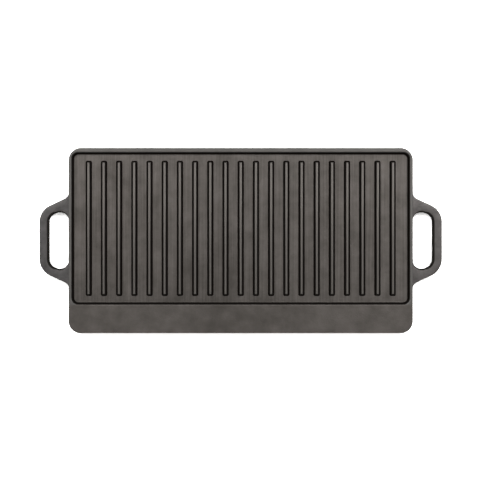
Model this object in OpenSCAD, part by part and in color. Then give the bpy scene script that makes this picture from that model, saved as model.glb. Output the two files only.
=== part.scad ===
// Reversible cast-iron camp griddle. The upper face has grill ribs inside a raised
// rim, with a smooth ledge along the front. The lower face is flat, with a grease
// trough under the ledge. A loop handle stands out from each end.
// Sizes are in millimetres. X runs along the length, the ledge is at -Y, Z is up.
// The origin is on the table, under the middle of the plate.

/* [Plate] */
// Width of the plate between its side faces, without the handles
plate_w = 425; // [380:1:480]
// Depth of the plate from its front face to its rear face
plate_d = 229; // [210:1:280]
// Radius of the plate's corners, seen from above
corner_r = 15; // [14:1:22]
// Thickness of the cooking floor between the two faces
floor_t = 5; // [4:0.5:8]

/* [Rim and foot] */
// Height of the rim and the ledge above the ribbed floor
rim_h = 6; // [5.5:0.5:9]
// Width of the side rims at their top
rim_w = 3.6; // [2.8:0.2:5.2]
// Width of the rear rim at its top
rear_rim_w = 5.2; // [4:0.2:6]
// Radius of the ribbed recess's corners, seen from above
tray_r = 8; // [7:0.5:9.5]
// Height of the foot below the flat cooking face
foot_h = 4; // [3:0.5:6]
// Width of the foot where it meets the table
foot_w = 5; // [4:0.5:6]
// Slope of the recessed walls away from upright, in degrees
wall_draft = 15; // [8:1:18]
// Radius along the bottom of the recessed walls
fillet_r = 2; // [1:0.5:2.5]
// Radius along the edges of the rim and the foot
edge_r = 1.2; // [0.6:0.2:1.6]

/* [Front ledge and trough] */
// Width of the ledge, from the front face to the ribbed recess
ledge_w = 35.5; // [33:0.5:46]
// Thickness of the ledge over the trough
ledge_t = 5; // [4:0.5:7]
// Thickness of the wall between the trough and the ribbed recess
trough_wall = 5; // [4:0.5:7]

/* [Ribs] */
// Gap between the ribs' ends and the lips of the recess at the front and the rear
rib_end_gap = 11; // [8:0.5:30]
// Distance from the recess's side lips to the middle of the outermost ribs
rib_side_gap = 20.8; // [18:0.2:24]
// Width of a rib at its root
rib_root_w = 6.6; // [5.6:0.2:9]
// Width of a rib's crown before its edges are rounded
rib_crown_w = 2.4; // [2:0.2:4.4]
// Height of a rib above the floor
rib_h = 5; // [3:0.5:5.5]
// Radius along the edges of a rib's crown
rib_crown_r = 1; // [0.6:0.1:1.5]
// Radius of a rib's corners at its root, seen from above
rib_corner_r = 1.6; // [0.8:0.2:2.4]

/* [Handles] */
// Reach of a handle beyond the plate's side face
handle_reach = 37; // [36:0.5:50]
// Span of a handle's two struts where they meet the plate, before the fillets
handle_span = 109; // [100:1:112]
// Height of a handle's underside above the table
handle_z = 2; // [1.6:0.2:3]
// Width of a handle's bar near its underside, where it is widest
bar_w = 12; // [10:0.5:14]
// Thickness of a handle's bar, top to bottom
bar_t = 10; // [8:0.5:10]
// Radius along the long edges of a handle's bar
bar_edge_r = 2; // [1.5:0.5:3.5]
// Slope of the bar's sides away from upright, narrower at the top, in degrees
bar_draft = 5; // [0:1:8]
// Lean of the struts away from square to the plate, in degrees
strut_lean = 24; // [16:1:28]
// Outer radius of the bend between a strut and the grip
bend_r = 23; // [18:1:26]
// Radius of the fillets outside the loop, where the struts meet the plate
root_r = 10; // [6:1:11]
// Radius of the loop's corners along the plate
loop_r = 12; // [8:1:13]

/* [Hidden] */
$fn = 64;
iron = "#5f5b57";
iron_dark = "#4f4c49";
iron_light = "#6b6762";
rib_count = 21;
plate_h = foot_h + floor_t + rim_h;
floor_z = foot_h + floor_t;
half_w = plate_w / 2;
half_d = plate_d / 2;
// Height that a cutting solid stands proud of the face it cuts
proud = 1;
// Slope at which the eased lip of a recess leaves its face, in degrees
lip_flare = 12;
// Flat strip left on the rim side of the floor's edge
land = 0.5;

// Ribbed recess, at the top of its walls
tray_x = half_w - rim_w;
tray_y0 = ledge_w - half_d;
tray_y1 = half_d - rear_rim_w;

// Flat recess of the lower face, at the table
foot_r = corner_r - foot_w;

// Grease trough with half-round ends, at the flat face: it starts clear of the fillet
// along the foot
trough_depth = plate_h - ledge_t - foot_h;
trough_inset = foot_w + run(foot_h) + toe(fillet_r) + toe(edge_r) + land;
trough_y0 = trough_inset - half_d;
trough_y1 = tray_y0 - trough_wall + run(trough_depth);
trough_r = (trough_y1 - trough_y0) / 2;

// Cooking floor: it ends where the wall fillets of both faces have run out
wall_w = max(rim_w, rear_rim_w) + run(rim_h);
seam = max(wall_w, foot_w + run(foot_h)) + toe(fillet_r) + land;
floor_x = half_w - seam;
floor_r = corner_r - seam;

// Where the straight side rims start and end, and the straight stretch of the front
rim_y0 = tray_y0 + tray_r;
rim_y1 = half_d - corner_r;
span = 2 * (half_w - corner_r);

rib_l = tray_y1 - tray_y0 - 2 * rib_end_gap;
rib_pitch = 2 * (tray_x - rib_side_gap) / (rib_count - 1);
rib_y = (tray_y0 + tray_y1) / 2;

function rib_name(i) = str("rib_", i < 10 ? "0" : "", i);

// Sideways run of a sloping wall of height h
function run(h) = h * tan(wall_draft);
// Width that a fillet of radius r takes up at the bottom of a sloping wall
function toe(r) = r / tan((90 + wall_draft) / 2);
function dir(a) = [cos(a), sin(a)];
function arc(c, r, a0, a1, steps) =
  [for (i = [0:steps]) c + r * dir(a0 + (a1 - a0) * i / steps)];
function flip(points) =
  [for (i = [len(points) - 1:-1:0]) [points[i].x, -points[i].y]];

// Sliver between two edges that leave a corner at angles a1 and a2 and the arc that
// blends them: taken off it rounds an outer corner, added it fills an inner one
module corner_web(at, a1, a2, r) {
  half = (a2 - a1) / 2;
  side = r / tan(half);
  translate(at) difference() {
    polygon([[0, 0], side * dir(a1), side * dir(a2)]);
    translate(r / sin(half) * dir(a1 + half)) circle(r);
  }
}

// A section's x runs from the line through the corner centres out to the edge.
// turn() carries it round a corner, and run() along the side that follows.
module turn() rotate_extrude(angle = 90) children();

module run_on(length) rotate([90, 0, 0]) linear_extrude(length) children();

// Corner centre i of a rounded rectangle, counted from the rear right one round to the left
module at_corner(i, x, y0, y1, r)
  translate([(i == 0 || i == 3 ? 1 : -1) * (x - r), i < 2 ? y1 - r : y0 + r, 0])
    rotate(90 * i) children();

// Carries a section all round a rounded rectangle, and fills the middle from z0 to z1
module carried_round(x, y0, y1, r, z0, z1) {
  sides = [y1 - y0 - 2 * r, 2 * (x - r)];
  translate([r - x, y0 + r, z0]) cube([sides[1], sides[0], z1 - z0]);
  for (i = [0:3]) at_corner(i, x, y0, y1, r) {
    turn() children();
    run_on(sides[i % 2]) children();
  }
}

// Carries half a section along a straight line in x, and half round at both its ends
module carried_along(straight) {
  rotate([90, 0, 90]) linear_extrude(straight, center = true) {
    children();
    mirror([1, 0]) children();
  }
  for (end = [-90, 90])
    rotate(end) translate([0, straight / 2]) rotate_extrude(angle = 180) children();
}

// Section of a recess that opens upwards at z = 0: an eased lip, a sloping wall and a
// fillet at its bottom
module pocket_section(r, depth) {
  a1 = -90 - wall_draft;
  half = (lip_flare - a1) / 2;
  lip = [for (a = [a1, lip_flare]) [r, 0] + edge_r / tan(half) * dir(a)];
  bottom = [r - run(depth), -depth];
  difference() {
    polygon([[0, proud], [0, -depth], bottom, lip[0], lip[1], [lip[1].x, proud]]);
    translate([r, 0] + edge_r / sin(half) * dir(a1 + half)) circle(edge_r);
    corner_web(bottom, 90 - wall_draft, 180, fillet_r);
  }
}

// Ribbed recess, as the solid that cuts it
module tray() translate([0, 0, plate_h])
  carried_round(tray_x, tray_y0, tray_y1, tray_r, -rim_h, proud) pocket_section(tray_r, rim_h);

// Section of the plate's edge: rounded above and below, with the flat face's recess
module edge_section() difference() {
  square([corner_r, plate_h]);
  corner_web([corner_r, 0], 90, 180, edge_r);
  corner_web([corner_r, plate_h], 180, 270, edge_r);
  mirror([0, 1]) pocket_section(foot_r, foot_h);
}

// Section of the rim before the ribbed recess is cut: the edge, as far in as the floor's seam
module rim_section() difference() {
  edge_section();
  translate([-proud, 0]) square([floor_r + proud, plate_h]);
}

module at_plate_corner(i) at_corner(i, half_w, -half_d, half_d, corner_r) children();

module griddle_floor() color(iron) translate([0, 0, foot_h]) {
  translate([-floor_x, rim_y0]) cube([2 * floor_x, rim_y1 - rim_y0, floor_t]);
  for (i = [0, 1]) at_plate_corner(i) turn() square([floor_r, floor_t]);
  at_plate_corner(1) run_on(span) square([floor_r, floor_t]);
}

module rear_rim() color(iron_light) difference() {
  union() {
    for (i = [0, 1]) at_plate_corner(i) turn() rim_section();
    at_plate_corner(1) run_on(span) rim_section();
  }
  tray();
}

module right_rim() color(iron_light)
  at_plate_corner(0) run_on(rim_y1 - rim_y0) difference() {
    rim_section();
    translate([corner_r - rim_w - tray_r, plate_h]) pocket_section(tray_r, rim_h);
  }

module left_rim() mirror([1, 0, 0]) right_rim();

// Front of the plate: the ledge with its edge, hollowed above by the front of the
// ribbed recess and below by the trough
module grease_trough() color(iron_dark) difference() {
  union() {
    for (i = [2, 3]) at_plate_corner(i) turn() edge_section();
    at_plate_corner(3) run_on(span) edge_section();
    for (side = [0, 1]) mirror([side, 0, 0])
      translate([span / 2, rim_y0]) run_on(rim_y0 + rim_y1) edge_section();
    translate([-span / 2, -rim_y1, foot_h]) cube([span, rim_y0 + rim_y1, plate_h - foot_h]);
  }
  tray();
  translate([0, (trough_y0 + trough_y1) / 2, foot_h]) mirror([0, 0, 1])
    carried_along(2 * (half_w - trough_inset - trough_r)) pocket_section(trough_r, trough_depth);
}

// Section of a rib that is w wide at its root: sloping flanks up to a rounded crown
module rib_profile(w) {
  slant = (rib_root_w - rib_crown_w) / 2;
  crown = w / 2 - slant;
  difference() {
    polygon([[-w / 2, 0], [w / 2, 0], [crown, rib_h], [-crown, rib_h]]);
    for (side = [0, 1]) mirror([side, 0])
      corner_web([crown, rib_h], 180, 270 + atan(slant / rib_h), rib_crown_r);
  }
}

// A rib slopes in at its sides and its ends alike, and is rounded off at its corners
module rib(i) {
  corner = [rib_root_w, rib_l] / 2 - [1, 1] * rib_corner_r;
  color(iron_light) translate([(i - (rib_count + 1) / 2) * rib_pitch, rib_y, floor_z]) difference() {
    intersection() {
      rotate([90, 0, 0]) linear_extrude(rib_l, center = true) rib_profile(rib_root_w);
      rotate([90, 0, 90]) linear_extrude(rib_root_w, center = true) rib_profile(rib_l);
    }
    for (x = [0, 1], y = [0, 1]) mirror([x, 0, 0]) mirror([0, y, 0])
      translate([corner.x, corner.y, -proud]) linear_extrude(rib_h + 2 * proud) difference() {
        square(rib_corner_r + proud);
        circle(rib_corner_r);
      }
  }
}

// Skin through a list of rings, each a closed loop with the same number of points
module loft(rings) {
  n = len(rings[0]);
  last = len(rings) - 1;
  walls = [
    for (j = [0:last - 1], k = [0:n - 1])
      let (a = j * n + k, b = j * n + (k + 1) % n)
        each [[a, a + n, b + n], [a, b + n, b]]
  ];
  start = [for (k = [0:n - 1]) k];
  end = [for (k = [n - 1:-1:0]) last * n + k];
  polyhedron([for (ring = rings) each ring], concat([start, end], walls));
}

// Section of the handle between its inner and its outer edge: a bar with round edges,
// narrower at the top
function bar_ring(inner, outer, steps) =
  let (
    w = norm(outer - inner),
    along = (outer - inner) / w,
    narrowing = (bar_t - 2 * bar_edge_r) * tan(bar_draft),
    ends = [bar_draft, 90, 180 - bar_draft, 270, 360 + bar_draft]
  ) [
    for (q = [0:3], k = [0:steps])
      let (
        inset = bar_edge_r + (q < 2 ? narrowing : 0),
        x = q == 0 || q == 3 ? w - inset : inset,
        z = handle_z + (q < 2 ? bar_t - bar_edge_r : bar_edge_r),
        p = [x, z] + bar_edge_r * dir(ends[q] + (ends[q + 1] - ends[q]) * k / steps),
        at = inner + along * p.x
      ) [half_w + at.x, at.y, p.y]
  ];

// Loop handle at the +X end. Seen from above, each edge is a root fillet, a leaning
// strut and a bend into the grip, and then the same in reverse.
module handle() {
  turn = 90 - strut_lean;
  root_steps = 8;
  bend_steps = 8;
  edge_steps = 4;
  root = handle_span / 2;
  inner_root = root - bar_w / cos(strut_lean);
  bend = [
    handle_reach - bend_r,
    root - handle_reach * tan(strut_lean) - bend_r * tan(turn / 2)
  ];
  outer_fillet = [root_r, root + root_r / tan(90 - turn / 2)];
  inner_fillet = [loop_r, inner_root - loop_r / tan(turn / 2)];
  outer = concat(
    arc(outer_fillet, root_r, 180, 180 + turn, root_steps),
    arc(bend, bend_r, turn, 0, bend_steps)
  );
  inner = concat(
    arc(inner_fillet, loop_r, 180, turn, root_steps),
    arc(bend, bend_r - bar_w, turn, 0, bend_steps)
  );
  outer_edge = concat(outer, flip(outer));
  inner_edge = concat(inner, flip(inner));
  loft([for (j = [0:len(outer_edge) - 1])
    bar_ring(inner_edge[j], outer_edge[j], edge_steps)]);
}

module left_handle() color(iron_dark) mirror([1, 0, 0]) handle();

module right_handle() color(iron_dark) handle();

griddle_floor();
rear_rim();
left_rim();
right_rim();
grease_trough();
left_handle();
right_handle();
for (i = [1:rib_count])
  rib(i);
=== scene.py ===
import math

import bmesh
import bpy
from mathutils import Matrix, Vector, noise


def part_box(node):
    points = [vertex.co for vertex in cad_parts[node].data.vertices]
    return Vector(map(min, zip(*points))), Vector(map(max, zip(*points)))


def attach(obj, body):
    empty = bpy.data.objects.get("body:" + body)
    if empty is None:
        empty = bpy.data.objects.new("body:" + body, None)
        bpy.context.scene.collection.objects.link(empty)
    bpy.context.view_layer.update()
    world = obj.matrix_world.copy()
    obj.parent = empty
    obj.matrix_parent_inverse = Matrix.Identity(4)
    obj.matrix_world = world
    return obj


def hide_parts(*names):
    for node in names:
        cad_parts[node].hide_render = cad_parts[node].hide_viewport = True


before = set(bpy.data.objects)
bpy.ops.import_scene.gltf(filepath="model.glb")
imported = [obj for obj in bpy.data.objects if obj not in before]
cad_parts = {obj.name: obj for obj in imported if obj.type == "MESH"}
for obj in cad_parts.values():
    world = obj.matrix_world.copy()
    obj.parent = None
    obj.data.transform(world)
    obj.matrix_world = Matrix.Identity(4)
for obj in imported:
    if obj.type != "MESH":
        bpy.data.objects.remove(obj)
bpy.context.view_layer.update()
mm = 0.001
scene = bpy.context.scene
scene.view_settings.view_transform = "Standard"
print("frame loaded,", len(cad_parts), "nodes")

# a Mix node's sockets for plain numbers and for colours
numberA, numberB = 2, 3
colourA, colourB, colourOut = 6, 7, 2


def linear(hexColour):
    # sRGB hex to the linear colour that the shaders take
    channels = [int(hexColour[i:i + 2], 16) / 255 for i in (1, 3, 5)]
    return [c / 12.92 if c <= 0.04045 else ((c + 0.055) / 1.055) ** 2.4 for c in channels] + [1.0]


def addNode(tree, kind, inputs=None, **settings):
    # an input is a plain value, a socket to link, or a node whose first output is linked
    node = tree.nodes.new(kind)
    for name, value in settings.items():
        setattr(node, name, value)
    for key, value in (inputs or {}).items():
        if isinstance(value, bpy.types.Node):
            value = value.outputs[0]
        if isinstance(value, bpy.types.NodeSocket):
            tree.links.new(value, node.inputs[key])
        else:
            node.inputs[key].default_value = value
    return node


def ramp(value, low, high):
    # 0 up to low, 1 from high on, and even between them
    return min(1, max(0, (value - low) / (high - low)))


def arc(centre, radius, start, end, steps):
    # points on an arc in a section, angles in degrees
    angles = [math.radians(start + (end - start) * i / steps) for i in range(steps + 1)]
    return [(centre[0] + radius * math.cos(a), centre[1] + radius * math.sin(a)) for a in angles]


def straight(start, end, steps):
    # points on the line between two arcs, without its ends
    (x0, y0), (x1, y1) = start, end
    return [(x0 + (x1 - x0) * i / steps, y0 + (y1 - y0) * i / steps) for i in range(1, steps)]


def joinLoops(bm, loops):
    # four-sided faces from each loop of points to the next
    for first, second in zip(loops, loops[1:]):
        for i in range(len(first)):
            k = (i + 1) % len(first)
            bm.faces.new((first[i], first[k], second[k], second[i]))


def smoothMesh(name, bm):
    for face in bm.faces:
        face.smooth = True
    mesh = bpy.data.meshes.new(name)
    bm.to_mesh(mesh)
    bm.free()
    return mesh


def addPiece(name, mesh, material, nodes):
    piece = bpy.data.objects.new(name, mesh)
    scene.collection.objects.link(piece)
    mesh.materials.append(material)
    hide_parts(*nodes)
    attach(piece, "root")
    print(name, "has", len(mesh.polygons), "faces")


# Camera: straight above the plate, as the photograph is taken
camera = {
    "height": 1415 * mm,
    "across": -0.9 * mm,
    "along": 0.7 * mm,
    "lens": 85.13,
}
cameraData = bpy.data.cameras.new("overheadCamera")
cameraData.lens = camera["lens"]
cameraObject = bpy.data.objects.new("overheadCamera", cameraData)
cameraObject.location = (camera["across"], camera["along"], camera["height"])
scene.collection.objects.link(cameraObject)
scene.camera = cameraObject

# Light: a large soft box high at the rear on each side and a weak fill low in front, in a dim room
# with pale walls
light = {
    # name: place of the middle, width, length and radiance; each faces the plate
    "softBoxes": {
        "leftBox": ((-1.15, 1.0, 2.0), 1.2, 1.2, 6.1),
        "rightBox": ((1.15, 1.0, 2.0), 1.2, 1.2, 7.4),
        "frontFill": ((0.0, -2.4, 1.2), 2.6, 1.4, 2.2),
    },
    "roomColour": "#848485",
    "wallColour": "#e8e8e8",
    "wallTop": 70,          # degrees above the horizon at which the walls have faded into the room
    "floorColour": "#e6e6e4",
    "floorMirrored": 1.3,   # what reflections see of the floor, times its colour: white
    "floorShown": 3.2,      # the same for the camera, which leaves a faint shadow
    "floorSide": 40.0,
}
for name, (place, width, length, radiance) in light["softBoxes"].items():
    lampData = bpy.data.lights.new(name, "AREA")
    lampData.shape = "RECTANGLE"
    lampData.size = width
    lampData.size_y = length
    lampData.energy = radiance * math.pi * width * length
    lamp = bpy.data.objects.new(name, lampData)
    lamp.location = place
    lamp.rotation_euler = (-lamp.location).to_track_quat("-Z", "Y").to_euler()
    scene.collection.objects.link(lamp)

world = bpy.data.worlds.new("studioRoom")
scene.world = world
world.use_nodes = True
tree = world.node_tree
tree.nodes.clear()
direction = addNode(tree, "ShaderNodeTexCoord").outputs["Generated"]
rise = addNode(tree, "ShaderNodeSeparateXYZ", {0: direction}).outputs["Z"]
wallRise = math.sin(math.radians(light["wallTop"]))
upward = addNode(tree, "ShaderNodeMapRange", {"Value": rise, "From Max": wallRise},
                 interpolation_type="SMOOTHSTEP")
room = addNode(tree, "ShaderNodeMix", {"Factor": upward, colourA: linear(light["wallColour"]),
                                       colourB: linear(light["roomColour"])}, data_type="RGBA")
room = addNode(tree, "ShaderNodeBackground", {"Color": room.outputs[colourOut]})
addNode(tree, "ShaderNodeOutputWorld", {"Surface": room})

floorMaterial = bpy.data.materials.new("whitePaperSweep")  # matt paper: even, no gloss
floorMaterial.use_nodes = True
tree = floorMaterial.node_tree
tree.nodes.clear()
rays = addNode(tree, "ShaderNodeLightPath").outputs
mirrored = addNode(tree, "ShaderNodeMath", {0: rays["Is Glossy Ray"], 1: rays["Is Transmission Ray"]},
                   operation="MAXIMUM")
paper = linear(light["floorColour"])
white, bright = [[c * light[key] for c in paper[:3]] + [1.0] for key in ("floorMirrored", "floorShown")]
mixed = addNode(tree, "ShaderNodeMix", {"Factor": mirrored, colourA: paper, colourB: white},
                data_type="RGBA")
mixed = addNode(tree, "ShaderNodeMix", {"Factor": rays["Is Camera Ray"],
                                        colourA: mixed.outputs[colourOut], colourB: bright},
                data_type="RGBA")
matt = addNode(tree, "ShaderNodeBsdfDiffuse", {"Color": mixed.outputs[colourOut]})
addNode(tree, "ShaderNodeOutputMaterial", {"Surface": matt})

side = light["floorSide"]
floorCorners = [(-side, -side, 0), (side, -side, 0), (side, side, 0), (-side, side, 0)]
floorMesh = bpy.data.meshes.new("studioFloor")
floorMesh.from_pydata(floorCorners, [], [(0, 1, 2, 3)])
floorMesh.materials.append(floorMaterial)
studioFloor = bpy.data.objects.new("studioFloor", floorMesh)
scene.collection.objects.link(studioFloor)
print("camera, light and floor are set")


# Finish: sand-cast grey iron under a thin seasoning of burnt-on oil. It is a rough dark metal: flat faces
# give back the light above them, steep walls are painted almost black as painted shade, handled edges are
# a little lighter, and the rib crowns carry a painted highlight.
def castIron(name, finish):
    material = bpy.data.materials.new(name)
    material.use_nodes = True
    tree = material.node_tree
    tree.nodes.clear()
    place = addNode(tree, "ShaderNodeTexCoord").outputs["Object"]

    # soft patches of thicker and thinner seasoning
    patches = addNode(tree, "ShaderNodeTexNoise", {"Vector": place, "Scale": 1 / finish["patchSize"],
                                                   "Detail": 3.0, "Roughness": 0.55})
    tone = addNode(tree, "ShaderNodeMath", {0: patches, 1: finish["patchShare"],
                                            2: 0.5 - 0.5 * finish["patchShare"]}, operation="MULTIPLY_ADD")
    # a scraper leaves faint streaks along Y on the floor of the recess
    stretch = (1 / finish["streakWidth"], 1 / finish["streakLength"], 1 / finish["streakLength"])
    stretched = addNode(tree, "ShaderNodeMapping", {"Vector": place, "Scale": stretch})
    streaks = addNode(tree, "ShaderNodeTexNoise", {"Vector": stretched, "Scale": 1.0, "Detail": 2.0})
    streaks = addNode(tree, "ShaderNodeMath", {0: streaks, 1: 0.5}, operation="SUBTRACT")
    scraped = addNode(tree, "ShaderNodeAttribute", attribute_name="scraped").outputs["Fac"]
    streaks = addNode(tree, "ShaderNodeMath", {0: streaks, 1: scraped}, operation="MULTIPLY")
    tone = addNode(tree, "ShaderNodeMath", {0: streaks, 1: finish["streakShare"], 2: tone},
                   operation="MULTIPLY_ADD")
    # painted dark reflection: the colour is darker round one spot in front of the middle
    away = addNode(tree, "ShaderNodeVectorMath", {0: place, 1: finish["darkReflectionPlace"]}, operation="DISTANCE")
    darkReflection = addNode(tree, "ShaderNodeMapRange", {
        "Value": away.outputs["Value"],
        "From Max": finish["darkReflectionReach"],
        "To Min": finish["darkReflectionShare"],
        "To Max": 0.0,
    }, interpolation_type="SMOOTHSTEP")
    tone = addNode(tree, "ShaderNodeMath", {0: tone, 1: darkReflection}, operation="SUBTRACT")
    iron = addNode(tree, "ShaderNodeValToRGB", {"Fac": tone})
    for stop, colour, position in zip(iron.color_ramp.elements, ("dark", "light"), finish["toneSpan"]):
        stop.position = position
        stop.color = linear(finish[colour])
    # lighter where the attribute says: rubbed edges, and a painted highlight on the rib crowns
    wearAndHighlight = addNode(tree, "ShaderNodeAttribute", attribute_name="wearAndHighlight").outputs["Fac"]
    wornAndHighlight = addNode(tree, "ShaderNodeMix", {"Factor": wearAndHighlight, colourA: iron, colourB: linear(finish["wornAndHighlight"])},
                   data_type="RGBA")

    # painted shade on the steep walls: a faint stage of dark metal first,
    # then a deep stage of matt black
    paintedShade = addNode(tree, "ShaderNodeAttribute", attribute_name="paintedShade").outputs["Fac"]
    faintShade = addNode(tree, "ShaderNodeMapRange", {"Value": paintedShade, "From Max": finish["faintShadeShare"]})
    deepShade = addNode(tree, "ShaderNodeMapRange", {"Value": paintedShade, "From Min": finish["faintShadeShare"]})
    oily = addNode(tree, "ShaderNodeMix", {"Factor": faintShade, colourA: wornAndHighlight.outputs[colourOut],
                                           colourB: linear(finish["faintShade"])}, data_type="RGBA")
    shaded = addNode(tree, "ShaderNodeMix", {"Factor": deepShade, colourA: oily.outputs[colourOut],
                                            colourB: linear(finish["deepShade"])}, data_type="RGBA")
    metal = addNode(tree, "ShaderNodeMath", {0: 1.0, 1: deepShade}, operation="SUBTRACT")

    # grain of the moulding sand: real grit is about 0.4 mm, drawn coarser so that it shows
    grain = addNode(tree, "ShaderNodeTexNoise", {"Vector": place, "Scale": 1 / finish["grainSize"],
                                                 "Detail": 4.0, "Roughness": 0.6})
    rough = addNode(tree, "ShaderNodeMapRange", {
        "Value": grain,
        "From Min": finish["grainSpan"][0],
        "From Max": finish["grainSpan"][1],
        "To Min": finish["roughLow"],
        "To Max": finish["roughHigh"],
    })
    rough = addNode(tree, "ShaderNodeMix", {"Factor": faintShade, numberA: rough, numberB: finish["roughFaintShade"]})
    rough = addNode(tree, "ShaderNodeMix", {"Factor": deepShade, numberA: rough, numberB: finish["roughDeepShade"]})
    pits = addNode(tree, "ShaderNodeTexVoronoi", {"Vector": place, "Scale": 1 / finish["pitSpacing"]})
    pits = addNode(tree, "ShaderNodeMapRange", {"Value": pits, "From Max": finish["pitRadius"]},
                   interpolation_type="SMOOTHSTEP")
    height = addNode(tree, "ShaderNodeMath", {0: pits, 1: finish["pitShare"], 2: grain},
                     operation="MULTIPLY_ADD")
    skin = addNode(tree, "ShaderNodeBump", {"Height": height, "Strength": 1.0,
                                            "Distance": finish["grainDepth"]})
    shader = addNode(tree, "ShaderNodeBsdfPrincipled", {
        "Base Color": shaded.outputs[colourOut],
        "Metallic": metal,
        "Roughness": rough,
        "Specular IOR Level": finish["deepShadeGloss"],
        "Normal": skin,
    })
    addNode(tree, "ShaderNodeOutputMaterial", {"Surface": shader})
    return material


# Plate: one closed skin, lofted through rounded rectangles from the ribbed recess over the rim
# and under the foot to the trough
plate = {
    "cornerRadius": 15 * mm,
    "trayRadius": 8 * mm,
    "rimWidth": 3.6 * mm,
    "rearRimWidth": 5.2 * mm,
    "ledgeWidth": 35.5 * mm,
    "ledgeThickness": 5 * mm,
    "footWidth": 5 * mm,
    "troughWall": 5 * mm,
    "wallDraft": 15,           # degrees away from upright
    "filletRadius": 2 * mm,
    "edgeRadius": 1.2 * mm,
    "land": 0.5 * mm,          # flat strip between the foot's fillet and the trough's lip
    "swell": 0.12 * mm,        # unevenness that a sand mould leaves
    "swellLength": 22 * mm,
    "shortest": 0.01 * mm,     # a ring's side that is shorter between its bends is half round
    "arcSteps": 5,
    "cornerSteps": 12,
    "alongSteps": 84,
    "acrossSteps": 46,
    "topSteps": 12,
    "footSteps": 4,
    "flatSteps": 30,
    # how much of the seasoning is rubbed off
    "wearAndHighlight": {"trayLip": 0.7, "rimTop": 0.6, "topEdge": 0.8, "lowEdge": 0.2, "foot": 0.5, "troughLip": 0.3},
    # painted shade on the walls, as shares of their depth
    "faintShadeStretch": (0.04, 0.12),
    "deepShadeStretch": (0.15, 0.75),
    "shadeFadeStretch": 0.025,     # next to the floor, where the painted shade fades out
    "finish": {
        "dark": "#534f4b",
        "light": "#6c6763",
        "wornAndHighlight": "#666563",
        "faintShade": "#32302d",
        "deepShade": "#0c0806",
        "deepShadeGloss": 0.02,
        "faintShadeShare": 0.5,           # the share of the painted shade that is its faint stage: the rest is its deep stage
        "toneSpan": (0.25, 0.75),  # tones that come out dark and light
        "patchSize": 22 * mm,
        "patchShare": 0.85,
        "streakWidth": 2.2 * mm,
        "streakLength": 120 * mm,
        "streakShare": 0.6,
        "darkReflectionPlace": (-8 * mm, -80 * mm, 0),
        "darkReflectionReach": 110 * mm,
        "darkReflectionShare": 0.16,
        "grainSize": 1.6 * mm,
        "grainDepth": 0.16 * mm,
        "grainSpan": (0.3, 0.7),   # grain heights that come out smoothest and roughest
        "pitSpacing": 5 * mm,
        "pitRadius": 0.22,         # as a share of the spacing
        "pitShare": 0.5,
        "roughLow": 0.44,
        "roughHigh": 0.56,
        "roughFaintShade": 0.45,
        "roughDeepShade": 0.95,
    },
}
halfWidth, halfDepth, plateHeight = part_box("rear_rim")[1]
flatFaceZ, trayFloorZ = [corner.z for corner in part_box("griddle_floor")]


def ringPoints(x, front, rear, radius, z):
    # one ring: four sides, each from the middle of a corner to the middle of the next
    centres = [Vector((x - radius, rear - radius, z)), Vector((radius - x, rear - radius, z)),
               Vector((radius - x, front + radius, z)), Vector((x - radius, front + radius, z))]
    steps = [plate["alongSteps"], plate["acrossSteps"]]
    bend = radius * math.pi / 4
    points = []
    for i in range(4):
        start, end = centres[i], centres[(i + 1) % 4]
        length = (end - start).length
        count = steps[i % 2] + plate["cornerSteps"]
        # the share of the steps in each bend, more where the straight stretch is short
        share = max(plate["cornerSteps"] / 2 / count, bend / (length + 2 * bend))
        for k in range(count):
            turned = ramp(k / count, 0, share) + ramp(k / count, 1 - share, 1)
            angle = math.radians(90 * i + 45 + 45 * turned)
            along = ramp(k / count, share, 1 - share) if length > plate["shortest"] else 0
            points.append(start.lerp(end, along) + radius * Vector((math.cos(angle), math.sin(angle), 0)))
    return points


def recessSection(depth):
    # inset and depth from a recess's eased lip down its wall and round its fillet
    turn = 90 - plate["wallDraft"]
    lip, fillet = plate["edgeRadius"], plate["filletRadius"]
    half = math.tan(math.radians(turn / 2))
    wallRun = depth * math.tan(math.radians(plate["wallDraft"]))
    upper = arc((-lip * half, lip), lip, -90, turn - 90, plate["arcSteps"])
    lower = arc((wallRun + fillet * half, depth - fillet), fillet, 90 + turn, 90, plate["arcSteps"])
    return upper + lower


def recessRings(mouth, depth, faceZ, downSign, lipWear):
    # rings down a recess, each with how much it is rubbed lighter and its painted shade: lighter at the
    # lip, painted shade on the wall
    x, front, rear, radius = mouth
    rings = []
    for d, h in recessSection(depth):
        sunk = h / depth
        paintedShade = (ramp(sunk, *plate["faintShadeStretch"]) + ramp(sunk, *plate["deepShadeStretch"])) / 2
        paintedShade *= ramp(1 - sunk, 0, plate["shadeFadeStretch"])
        ring = (x - d, front + d, rear - d, radius - d, faceZ - downSign * h)
        rings.append((ring, lipWear * (1 - sunk), paintedShade))
    return rings


def between(first, last, steps):
    # rings across a flat face, closer together near its two edges
    rings = []
    for i in range(1, steps):
        t = 0.5 - 0.5 * math.cos(math.pi * i / steps)
        rings.append([a + (b - a) * t for a, b in zip(first, last)])
    return rings


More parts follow.
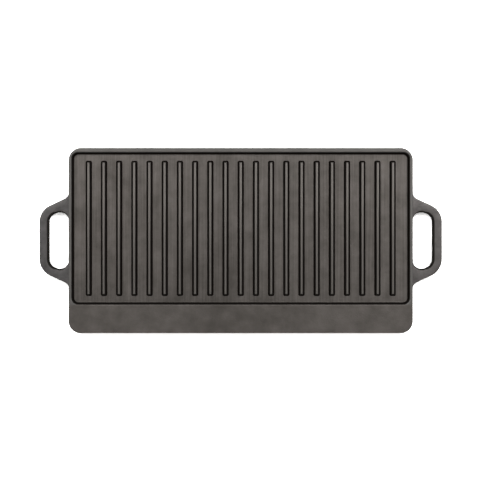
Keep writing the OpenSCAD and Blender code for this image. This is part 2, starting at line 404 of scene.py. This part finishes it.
def coonsCap(bm, ring):
    # fills a ring with a grid of four-sided faces
    along = plate["alongSteps"] + plate["cornerSteps"]
    across = plate["acrossSteps"] + plate["cornerSteps"]
    rearSide = [ring[i] for i in range(along + 1)]
    leftSide = [ring[along + j] for j in range(across + 1)]
    frontSide = [ring[2 * along + across - i] for i in range(along + 1)]
    rightSide = [ring[(2 * along + 2 * across - j) % len(ring)] for j in range(across + 1)]
    grid = [[None] * (across + 1) for _ in range(along + 1)]
    for i in range(along + 1):
        grid[i][0], grid[i][across] = rearSide[i], frontSide[i]
    for j in range(across + 1):
        grid[0][j], grid[along][j] = rightSide[j], leftSide[j]
    corners = [grid[0][0].co, grid[along][0].co, grid[0][across].co, grid[along][across].co]
    for i in range(1, along):
        for j in range(1, across):
            u, v = i / along, j / across
            ruled = rearSide[i].co * (1 - v) + frontSide[i].co * v
            ruled += rightSide[j].co * (1 - u) + leftSide[j].co * u
            ruled -= (corners[0] * (1 - u) + corners[1] * u) * (1 - v)
            ruled -= (corners[2] * (1 - u) + corners[3] * u) * v
            grid[i][j] = bm.verts.new(ruled)
    for i in range(along):
        for j in range(across):
            bm.faces.new((grid[i][j], grid[i + 1][j], grid[i + 1][j + 1], grid[i][j + 1]))


def plateMesh():
    p = plate
    half = math.tan(math.radians(90 - p["wallDraft"]) / 2)
    slope = math.tan(math.radians(p["wallDraft"]))
    edge, corner = p["edgeRadius"], p["cornerRadius"]
    trayFront = p["ledgeWidth"] - halfDepth
    tray = (halfWidth - p["rimWidth"], trayFront, halfDepth - p["rearRimWidth"], p["trayRadius"])
    foot = (halfWidth - p["footWidth"], p["footWidth"] - halfDepth, halfDepth - p["footWidth"],
            corner - p["footWidth"])
    troughDepth = plateHeight - p["ledgeThickness"] - flatFaceZ
    inset = p["footWidth"] + flatFaceZ * slope + (p["filletRadius"] + edge) * half + p["land"]
    troughFront = inset - halfDepth
    troughRear = trayFront - p["troughWall"] + troughDepth * slope
    trough = (halfWidth - inset, troughFront, troughRear, (troughRear - troughFront) / 2)

    def outer(inset, z):
        return (halfWidth - inset, inset - halfDepth, halfDepth - inset, corner - inset, z)

    # each ring has how much it is rubbed lighter and its painted shade
    wearAndHighlight = p["wearAndHighlight"]
    rings = recessRings(tray, plateHeight - trayFloorZ, plateHeight, 1, wearAndHighlight["trayLip"])[::-1]
    topEdge = [(outer(edge - d, plateHeight - edge + h), wearAndHighlight["topEdge"], 0)
               for d, h in arc((0, 0), edge, 90, 0, p["arcSteps"])]
    rings += [(ring, wearAndHighlight["rimTop"], 0) for ring in between(rings[-1][0], topEdge[0][0], p["topSteps"])]
    rings += topEdge
    rings += [(outer(edge - d, edge + h), wearAndHighlight["lowEdge"], 0)
              for d, h in arc((0, 0), edge, 0, -90, p["arcSteps"])]
    footRings = recessRings(foot, flatFaceZ, 0, -1, wearAndHighlight["foot"])
    rings += [(ring, wearAndHighlight["foot"], 0) for ring in between(rings[-1][0], footRings[0][0], p["footSteps"])]
    rings += footRings
    troughRings = recessRings(trough, troughDepth, flatFaceZ, -1, wearAndHighlight["troughLip"])
    rings += [(ring, 0, 0) for ring in between(rings[-1][0], troughRings[0][0], p["flatSteps"])]
    rings += troughRings

    bm = bmesh.new()
    wearLayer = bm.verts.layers.float.new("wearAndHighlight")
    paintedShadeLayer = bm.verts.layers.float.new("paintedShade")
    scrapedLayer = bm.verts.layers.float.new("scraped")
    loops = []
    for ring, ringWear, ringShade in rings:
        loop = [bm.verts.new(point) for point in ringPoints(*ring)]
        for vert in loop:
            # food sits on the ledge, so it keeps its seasoning
            onLedge = vert.co.y < trayFront and vert.co.z > plateHeight - edge / 2
            vert[wearLayer] = 0 if onLedge else ringWear
            vert[paintedShadeLayer] = ringShade
        loops.append(loop)
    joinLoops(bm, loops)
    coonsCap(bm, loops[0])
    coonsCap(bm, loops[-1])
    for vert in bm.verts:
        vert[scrapedLayer] = abs(vert.co.z - trayFloorZ) < edge / 2
    bmesh.ops.recalc_face_normals(bm, faces=bm.faces)
    bm.normal_update()
    for vert in bm.verts:
        uneven = 0.5 + 0.5 * noise.noise(vert.co / p["swellLength"])
        vert.co -= vert.normal * p["swell"] * uneven
    return smoothMesh("griddlePlate", bm)


addPiece("griddlePlate", plateMesh(), castIron("seasonedCastIronPlate", plate["finish"]),
         ["griddle_floor", "rear_rim", "left_rim", "right_rim", "grease_trough"])


# Ribs: one section swept round a circle, squared up to a rib's outline and repeated across the recess
ribNames = sorted(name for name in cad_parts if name.startswith("rib_"))
ribLow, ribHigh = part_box(ribNames[0])
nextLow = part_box(ribNames[1])[0]
ribs = {
    "count": len(ribNames),
    "pitch": nextLow.x - ribLow.x,
    "length": ribHigh.y - ribLow.y,
    "rootWidth": ribHigh.x - ribLow.x,
    "height": ribHigh.z - ribLow.z,
    "crownWidth": 2.4 * mm,
    "crownRadius": 1.0 * mm,
    "cornerRadius": 1.6 * mm,
    "rootFillet": 1.0 * mm,
    "sunk": 0.3 * mm,          # how far the root reaches into the floor
    "mergeGap": 0.01 * mm,
    "cornerSteps": 8,
    "arcSteps": 6,
    "flankSteps": 6,
    "highlightFrom": 0.7,           # share of the height from which the crown is painted lighter: a painted highlight
    # painted shade against the share of the height
    "shadeCurve": [(0.01, 1.0), (0.28, 1.0), (0.84, 0.5), (0.96, 0.24), (0.998, 0.0)],
    "finish": dict(plate["finish"], wornAndHighlight="#6c6864", patchShare=0.4, grainDepth=0.1 * mm),
}


def ribSection():
    # inset from the root's outline and height: from the middle of the root over the flank
    # to the middle of the crown
    r = ribs
    slant = (r["rootWidth"] - r["crownWidth"]) / 2
    rise = math.atan2(r["height"], slant)
    half = math.tan(rise / 2)
    turn = math.degrees(rise)
    foot = -r["rootFillet"] * half
    points = [(r["rootWidth"] / 2, -r["sunk"]), (foot, -r["sunk"])]
    points += arc((foot, r["rootFillet"]), r["rootFillet"], -90, turn - 90, r["arcSteps"])
    crown = arc((slant + r["crownRadius"] * half, r["height"] - r["crownRadius"]), r["crownRadius"],
                90 + turn, 90, r["arcSteps"])
    points += straight(points[-1], crown[0], r["flankSteps"]) + crown
    points.append((r["rootWidth"] / 2, r["height"]))
    return points


ribTree = bpy.data.node_groups.new("sweptRibs", "GeometryNodeTree")
ribTree.interface.new_socket("Section", in_out="INPUT", socket_type="NodeSocketGeometry")
ribInputs = {}
for label, kind in [("Count", "NodeSocketInt"), ("Outline", "NodeSocketVector"),
                    ("Corner", "NodeSocketFloat"), ("Height", "NodeSocketFloat"),
                    ("Pitch", "NodeSocketVector"), ("First", "NodeSocketVector"),
                    ("Finish", "NodeSocketMaterial")]:
    ribInputs[label] = ribTree.interface.new_socket(label, in_out="INPUT", socket_type=kind).identifier
ribTree.interface.new_socket("Ribs", in_out="OUTPUT", socket_type="NodeSocketGeometry")
given = addNode(ribTree, "NodeGroupInput").outputs

# the sweep: its distance in from the circle is the inset from the rib's outline
section = addNode(ribTree, "GeometryNodeMeshToCurve", {"Mesh": given["Section"]})
circleRadius = ribs["length"]
circleSteps = 4 * ribs["cornerSteps"]
circle = addNode(ribTree, "GeometryNodeCurvePrimitiveCircle",
                 {"Resolution": circleSteps, "Radius": circleRadius})
circle = addNode(ribTree, "GeometryNodeTransform",
                 {"Geometry": circle, "Rotation": (0, 0, math.pi / circleSteps)})
swept = addNode(ribTree, "GeometryNodeCurveToMesh", {"Curve": circle, "Profile Curve": section})
spot = addNode(ribTree, "GeometryNodeInputPosition")
level = addNode(ribTree, "ShaderNodeSeparateXYZ", {0: spot}).outputs["Z"]
flat = addNode(ribTree, "ShaderNodeVectorMath", {0: spot, 1: (1, 1, 0)}, operation="MULTIPLY")
away = addNode(ribTree, "ShaderNodeVectorMath", {0: flat}, operation="LENGTH").outputs["Value"]
inset = addNode(ribTree, "ShaderNodeMath", {0: circleRadius, 1: away}, operation="SUBTRACT")
# half the width and the length that are left at that inset
halves = addNode(ribTree, "ShaderNodeVectorMath", {0: given["Outline"], 1: (0.5, 0.5, 0)},
                 operation="MULTIPLY")
bothInsets = addNode(ribTree, "ShaderNodeCombineXYZ", {"X": inset, "Y": inset})
inner = addNode(ribTree, "ShaderNodeVectorMath", {0: halves, 1: bothInsets}, operation="SUBTRACT")
innerWidth = addNode(ribTree, "ShaderNodeSeparateXYZ", {0: inner}).outputs["X"]
# the radius that is left there for the corners
corner = addNode(ribTree, "ShaderNodeMath", {0: given["Corner"], 1: inset}, operation="SUBTRACT")
corner = addNode(ribTree, "ShaderNodeMath", {0: corner, 1: innerWidth}, operation="MINIMUM")
corner = addNode(ribTree, "ShaderNodeMath", {0: corner, 1: 0.0}, operation="MAXIMUM")
bothCorners = addNode(ribTree, "ShaderNodeCombineXYZ", {"X": corner, "Y": corner})
# each quarter of the circle becomes a corner, moved out to its place on the rib
quarter = addNode(ribTree, "ShaderNodeVectorMath", {0: flat}, operation="SIGN")
reach = addNode(ribTree, "ShaderNodeVectorMath", {0: inner, 1: bothCorners}, operation="SUBTRACT")
centre = addNode(ribTree, "ShaderNodeVectorMath", {0: quarter, 1: reach}, operation="MULTIPLY")
outward = addNode(ribTree, "ShaderNodeVectorMath", {0: flat}, operation="NORMALIZE")
rounded = addNode(ribTree, "ShaderNodeVectorMath", {0: outward, 1: bothCorners}, operation="MULTIPLY")
placed = addNode(ribTree, "ShaderNodeVectorMath", {0: centre, 1: rounded}, operation="ADD")
upright = addNode(ribTree, "ShaderNodeCombineXYZ", {"Z": level})
placed = addNode(ribTree, "ShaderNodeVectorMath", {0: placed, 1: upright}, operation="ADD")
squared = addNode(ribTree, "GeometryNodeSetPosition", {"Geometry": swept, "Position": placed})
closed = addNode(ribTree, "GeometryNodeMergeByDistance",
                 {"Geometry": squared, "Distance": ribs["mergeGap"]})
closed = addNode(ribTree, "GeometryNodeFlipFaces", {"Mesh": closed})   # the sweep faces inwards
# painted highlight on the crowns and painted shade on the flanks
share = addNode(ribTree, "ShaderNodeMath", {0: level, 1: given["Height"]}, operation="DIVIDE")
crownHighlight = addNode(ribTree, "ShaderNodeMapRange", {"Value": share, "From Min": ribs["highlightFrom"]})
marked = addNode(ribTree, "GeometryNodeStoreNamedAttribute",
                 {"Geometry": closed, "Name": "wearAndHighlight", "Value": crownHighlight}, data_type="FLOAT")
flankShade = addNode(ribTree, "ShaderNodeFloatCurve", {"Value": share})
curve = flankShade.mapping.curves[0]
curve.points[0].location = (0.0, 0.0)
curve.points[1].location = (1.0, 0.0)
for point in ribs["shadeCurve"]:
    curve.points.new(*point)
flankShade.mapping.update()
marked = addNode(ribTree, "GeometryNodeStoreNamedAttribute",
                 {"Geometry": marked, "Name": "paintedShade", "Value": flankShade}, data_type="FLOAT")
row = addNode(ribTree, "GeometryNodeMeshLine",
              {"Count": given["Count"], "Start Location": given["First"], "Offset": given["Pitch"]})
copies = addNode(ribTree, "GeometryNodeInstanceOnPoints", {"Points": row, "Instance": marked})
real = addNode(ribTree, "GeometryNodeRealizeInstances", {"Geometry": copies})
soft = addNode(ribTree, "GeometryNodeSetShadeSmooth", {"Geometry": real})
finished = addNode(ribTree, "GeometryNodeSetMaterial", {"Geometry": soft, "Material": given["Finish"]})
addNode(ribTree, "NodeGroupOutput", {"Ribs": finished})

ribMaterial = castIron("seasonedCastIronRib", ribs["finish"])
sectionMesh = bpy.data.meshes.new("ribSection")
# the sweep takes x as the way out and y as the way down
sectionPoints = [(-inward, -up, 0) for inward, up in ribSection()]
sectionMesh.from_pydata(sectionPoints, [(i, i + 1) for i in range(len(sectionPoints) - 1)], [])
sweeper = bpy.data.objects.new("ribSweep", sectionMesh)
scene.collection.objects.link(sweeper)
modifier = sweeper.modifiers.new("ribs", "NODES")
modifier.node_group = ribTree
ribValues = {
    "Count": ribs["count"],
    "Outline": (ribs["rootWidth"], ribs["length"], 0),
    "Corner": ribs["cornerRadius"],
    "Height": ribs["height"],
    "Pitch": (ribs["pitch"], 0, 0),
    "First": ((ribLow.x + ribHigh.x) / 2, (ribLow.y + ribHigh.y) / 2, ribLow.z),
    "Finish": ribMaterial,
}
for label, value in ribValues.items():
    modifier[ribInputs[label]] = value
ribMesh = bpy.data.meshes.new_from_object(sweeper.evaluated_get(bpy.context.evaluated_depsgraph_get()))
ribMesh.name = "grillRibs"
ribMesh.materials.clear()
bpy.data.objects.remove(sweeper)
addPiece("grillRibs", ribMesh, ribMaterial, ribNames)


# Handles: a rounded bar lofted along each loop, with filleted roots
handle = {
    "span": 109 * mm,          # over both struts where they meet the plate
    "barWidth": 12 * mm,
    "barDraft": 5,             # degrees that its sides lean in towards the top
    "edgeRadius": 2 * mm,
    "lean": 24,                # degrees that a strut leans in
    "bendRadius": 23 * mm,
    "rootRadius": 10 * mm,
    "loopRadius": 12 * mm,
    "sunk": 0.6 * mm,          # how far the root reaches into the plate
    "mergeGap": 0.001 * mm,
    "arcSteps": 14,
    "runSteps": 10,
    "edgeSteps": 7,
    "topWear": 0.25,
    "loopShade": 0.85,          # painted shade on the inside of the loop
    "shadeTurn": 1 / 3,         # share of an edge's turn over which the painted shade builds up
    "unshadedRoot": 9 * mm,       # the painted shade thins out this near the plate
    "finish": dict(plate["finish"], dark="#444241", light="#615f5e", wornAndHighlight="#636160", patchSize=9 * mm,
                   patchShare=1.0, grainSize=1.9 * mm, grainDepth=0.26 * mm),
    # painted light: the right handle's colours are lighter, as if more light fell on it
    "paintedLight": {"dark": "#4a4746", "light": "#686563", "wornAndHighlight": "#6a6765"},
}


def handleEdges(reach):
    # the loop's outer and inner edge from above, as distance from the plate's side and place along it
    h = handle
    lean = math.radians(h["lean"])
    turn = 90 - h["lean"]
    half = math.tan(math.radians(turn / 2))
    root = h["span"] / 2
    innerRoot = root - h["barWidth"] / math.cos(lean)
    bend = (reach - h["bendRadius"], root - reach * math.tan(lean) - h["bendRadius"] * half)
    edges = []
    for footRadius, footY, end, kneeRadius in [
        (h["rootRadius"], root + h["rootRadius"] * half, 180 + turn, h["bendRadius"]),
        (h["loopRadius"], innerRoot - h["loopRadius"] / half, turn, h["bendRadius"] - h["barWidth"]),
    ]:
        foot = arc((footRadius, footY), footRadius, 180, end, h["arcSteps"])
        knee = arc(bend, kneeRadius, turn, 0, h["arcSteps"])
        side = foot + straight(foot[-1], knee[0], h["runSteps"]) + knee
        grip = straight(knee[-1], (knee[-1][0], -knee[-1][1]), 2 * h["runSteps"])
        edges.append(side + grip + [(x, -y) for x, y in reversed(side)])
    return edges


def handleMesh(name, sideSign):
    h = handle
    low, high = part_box(name)
    edge = h["edgeRadius"]
    # degrees at which the bar's four rounded edges start and end
    ends = [h["barDraft"], 90, 180 - h["barDraft"], 270, 360 + h["barDraft"]]
    narrowing = (high.z - low.z - 2 * edge) * math.tan(math.radians(h["barDraft"]))
    outer, inner = [[(-h["sunk"], line[0][1])] + line + [(-h["sunk"], line[-1][1])]
                    for line in handleEdges(high.x - low.x)]
    bm = bmesh.new()
    wearLayer = bm.verts.layers.float.new("wearAndHighlight")
    paintedShadeLayer = bm.verts.layers.float.new("paintedShade")
    loops = []
    for (ox, oy), (ix, iy) in zip(outer, inner):
        width = math.hypot(ox - ix, oy - iy)
        ux, uy = (ox - ix) / width, (oy - iy) / width
        loop = []
        for quarter in range(4):
            # round the bar: the outer edge on top, both inner edges, and the outer edge below
            top, inside = quarter in (0, 1), quarter in (1, 2)
            inset = edge + (narrowing if top else 0)
            centre = (inset if inside else width - inset, high.z - edge if top else low.z + edge)
            bend = arc(centre, edge, ends[quarter], ends[quarter + 1], h["edgeSteps"])
            for step, (across, z) in enumerate(bend):
                vert = bm.verts.new((sideSign * (halfWidth + ix + ux * across), iy + uy * across, z))
                vert[wearLayer] = h["topWear"] if top else 0
                turned = (step if top else h["edgeSteps"] - step) / h["edgeSteps"]
                # painted shade on the inner edges of the loop, thinning out near the plate
                paintedShade = h["loopShade"] * ramp(turned, 0, h["shadeTurn"]) * ramp(ix, 0, h["unshadedRoot"])
                vert[paintedShadeLayer] = paintedShade if inside else 0
                loop.append(vert)
        loops.append(loop)
    joinLoops(bm, loops)
    bm.faces.new(loops[0])
    bm.faces.new(loops[-1])
    bmesh.ops.remove_doubles(bm, verts=bm.verts, dist=h["mergeGap"])
    bmesh.ops.recalc_face_normals(bm, faces=bm.faces)
    return smoothMesh(name, bm)


leftIron = castIron("sandCastIronLeftHandle", handle["finish"])
# the right handle gets the painted-light colours
rightIron = castIron("sandCastIronRightHandle", dict(handle["finish"], **handle["paintedLight"]))
addPiece("leftHandle", handleMesh("left_handle", -1), leftIron, ["left_handle"])
addPiece("rightHandle", handleMesh("right_handle", 1), rightIron, ["right_handle"])
